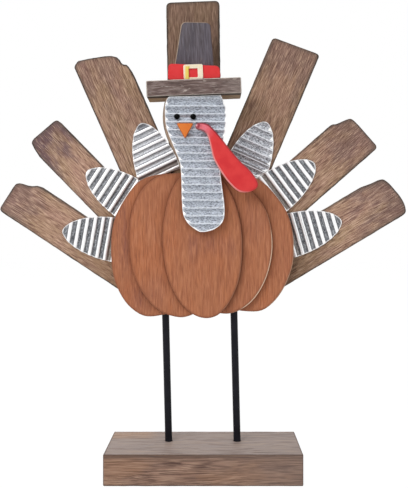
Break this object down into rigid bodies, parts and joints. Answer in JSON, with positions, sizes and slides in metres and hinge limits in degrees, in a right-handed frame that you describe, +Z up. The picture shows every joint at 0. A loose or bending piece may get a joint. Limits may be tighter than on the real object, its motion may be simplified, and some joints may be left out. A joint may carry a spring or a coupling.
{
  "type": "thanksgiving turkey figure",
  "caption": "Standing wooden turkey figure: layered pumpkin body on slim rods and a block base, fan of plank tail feathers, corrugated metal feathers and face, red wattle and buckled hat.",
  "frame": {"origin": "middle of the underside of the base block, on the surface that the figure stands on", "axes": "+Z up, the turkey faces -Y, +X to the right of someone looking at its face"},
  "size_m": [0.366, 0.066, 0.4214],
  "materials": {
    "base_wood": "stained, matt",
    "board_wood": "weathered stain, matt",
    "head_wood": "stained, matt",
    "hat_wood": "grey-brown worn paint",
    "pumpkin_paint": "matt orange-brown paint over visible grain",
    "rod_paint": "satin black",
    "galvanized_sheet": "galvanized, mottled",
    "nail_steel": "bright",
    "eye_paint": "gloss black",
    "beak_paint": "satin orange paint",
    "wattle_paint": "gloss red paint",
    "band_paint": "satin red paint",
    "buckle_paint": "satin cream paint"
  },
  "bodies": {
    "root": {"base_block": "base_wood", "leg_left": "rod_paint", "leg_right": "rod_paint", "pumpkin_back": "pumpkin_paint", "pumpkin_middle": "pumpkin_paint", "pumpkin_front": "pumpkin_paint", "tail_lower_left": "board_wood", "tail_middle_left": "board_wood", "tail_upper_left": "board_wood", "tail_center": "board_wood", "tail_upper_right": "board_wood", "tail_middle_right": "board_wood", "tail_lower_right": "board_wood", "tail_lower_left_nail_1": "nail_steel", "tail_lower_left_nail_2": "nail_steel", "tail_middle_left_nail_1": "nail_steel", "tail_middle_left_nail_2": "nail_steel", "tail_upper_left_nail_1": "nail_steel", "tail_upper_left_nail_2": "nail_steel", "tail_center_nail_1": "nail_steel", "tail_center_nail_2": "nail_steel", "tail_upper_right_nail_1": "nail_steel", "tail_upper_right_nail_2": "nail_steel", "tail_middle_right_nail_1": "nail_steel", "tail_middle_right_nail_2": "nail_steel", "tail_lower_right_nail_1": "nail_steel", "tail_lower_right_nail_2": "nail_steel", "feather_lower_left": "galvanized_sheet", "feather_middle_left": "galvanized_sheet", "feather_upper_left": "galvanized_sheet", "feather_upper_right": "galvanized_sheet", "feather_middle_right": "galvanized_sheet", "feather_lower_right": "galvanized_sheet", "head_board": "head_wood", "head_metal": "galvanized_sheet", "eye_left": "eye_paint", "eye_right": "eye_paint", "beak": "beak_paint", "wattle": "wattle_paint", "hat_brim": "hat_wood", "hat_crown": "hat_wood", "hat_band": "band_paint", "hat_buckle": "buckle_paint"}
  },
  "joints": []
}
